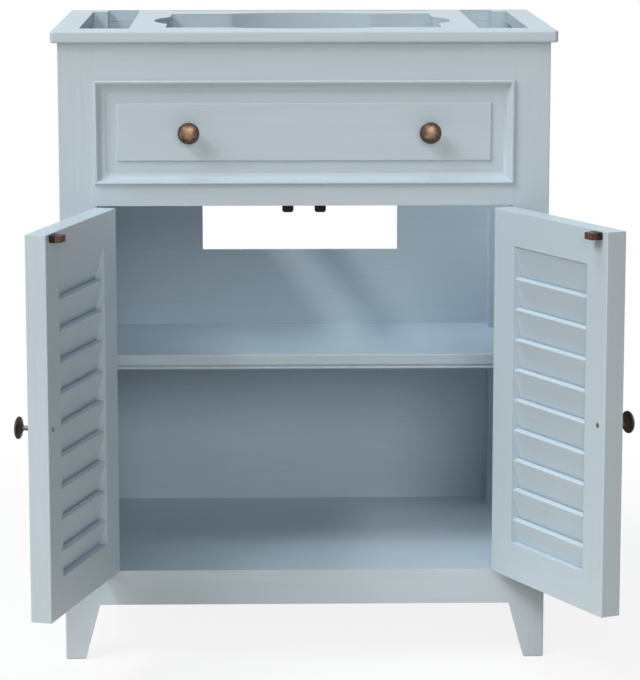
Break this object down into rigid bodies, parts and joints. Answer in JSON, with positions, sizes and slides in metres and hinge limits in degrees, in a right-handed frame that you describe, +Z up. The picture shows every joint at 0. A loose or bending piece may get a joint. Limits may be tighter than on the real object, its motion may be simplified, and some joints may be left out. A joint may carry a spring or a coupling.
{
  "type": "vanity cabinet",
  "caption": "Free-standing bathroom vanity base with a cut-out top, a false drawer front, louvred doors on butt hinges, a half-depth shelf and tapered feet.",
  "frame": {"origin": "on the floor, under the middle of the box round the cabinet and its open doors", "axes": "+Z up, +Y from the doors towards the wall, +X to the right as seen from the front"},
  "size_m": [0.774, 0.71, 0.8425],
  "materials": {
    "painted_wood": "satin pale blue paint",
    "aged_bronze": "aged bronze with rubbed highlights",
    "dark_plastic": "dark brown moulded plastic",
    "hinge_steel": "dull plated steel"
  },
  "bodies": {
    "cabinet": {"top_board": "painted_wood", "front_left_post": "painted_wood", "front_right_post": "painted_wood", "rear_left_post": "painted_wood", "rear_right_post": "painted_wood", "front_top_rail": "painted_wood", "drawer_rail": "painted_wood", "front_bottom_rail": "painted_wood", "left_side_panel": "painted_wood", "right_side_panel": "painted_wood", "back_panel": "painted_wood", "bottom_panel": "painted_wood", "shelf": "painted_wood", "left_shelf_cleat": "painted_wood", "right_shelf_cleat": "painted_wood", "drawer_front_panel": "painted_wood", "drawer_front_moulding": "painted_wood", "drawer_left_knob": "aged_bronze", "drawer_right_knob": "aged_bronze", "double_catch": "dark_plastic", "left_upper_hinge_frame_leaf": "hinge_steel", "left_lower_hinge_frame_leaf": "hinge_steel", "right_upper_hinge_frame_leaf": "hinge_steel", "right_lower_hinge_frame_leaf": "hinge_steel"},
    "left_door": {"left_door_hinge_stile": "painted_wood", "left_door_free_stile": "painted_wood", "left_door_top_rail": "painted_wood", "left_door_bottom_rail": "painted_wood", "left_door_slat_01": "painted_wood", "left_door_slat_02": "painted_wood", "left_door_slat_03": "painted_wood", "left_door_slat_04": "painted_wood", "left_door_slat_05": "painted_wood", "left_door_slat_06": "painted_wood", "left_door_slat_07": "painted_wood", "left_door_slat_08": "painted_wood", "left_door_slat_09": "painted_wood", "left_door_slat_10": "painted_wood", "left_door_knob": "aged_bronze", "left_door_strike": "dark_plastic", "left_upper_hinge_door_leaf": "hinge_steel", "left_lower_hinge_door_leaf": "hinge_steel"},
    "right_door": {"right_door_hinge_stile": "painted_wood", "right_door_free_stile": "painted_wood", "right_door_top_rail": "painted_wood", "right_door_bottom_rail": "painted_wood", "right_door_slat_01": "painted_wood", "right_door_slat_02": "painted_wood", "right_door_slat_03": "painted_wood", "right_door_slat_04": "painted_wood", "right_door_slat_05": "painted_wood", "right_door_slat_06": "painted_wood", "right_door_slat_07": "painted_wood", "right_door_slat_08": "painted_wood", "right_door_slat_09": "painted_wood", "right_door_slat_10": "painted_wood", "right_door_knob": "aged_bronze", "right_door_strike": "dark_plastic", "right_upper_hinge_door_leaf": "hinge_steel", "right_lower_hinge_door_leaf": "hinge_steel"}
  },
  "joints": [
    {"name": "left_door_swing", "type": "hinge", "parent": "cabinet", "child": "left_door", "pos_m": [-0.29551, -0.08602, 0.368], "axis": [0, 0, -1], "range_deg": [-105.6, 64.4]},
    {"name": "right_door_swing", "type": "hinge", "parent": "cabinet", "child": "right_door", "pos_m": [0.25119, -0.08602, 0.368], "axis": [0, 0, 1], "range_deg": [-116.1, 53.9]}
  ]
}
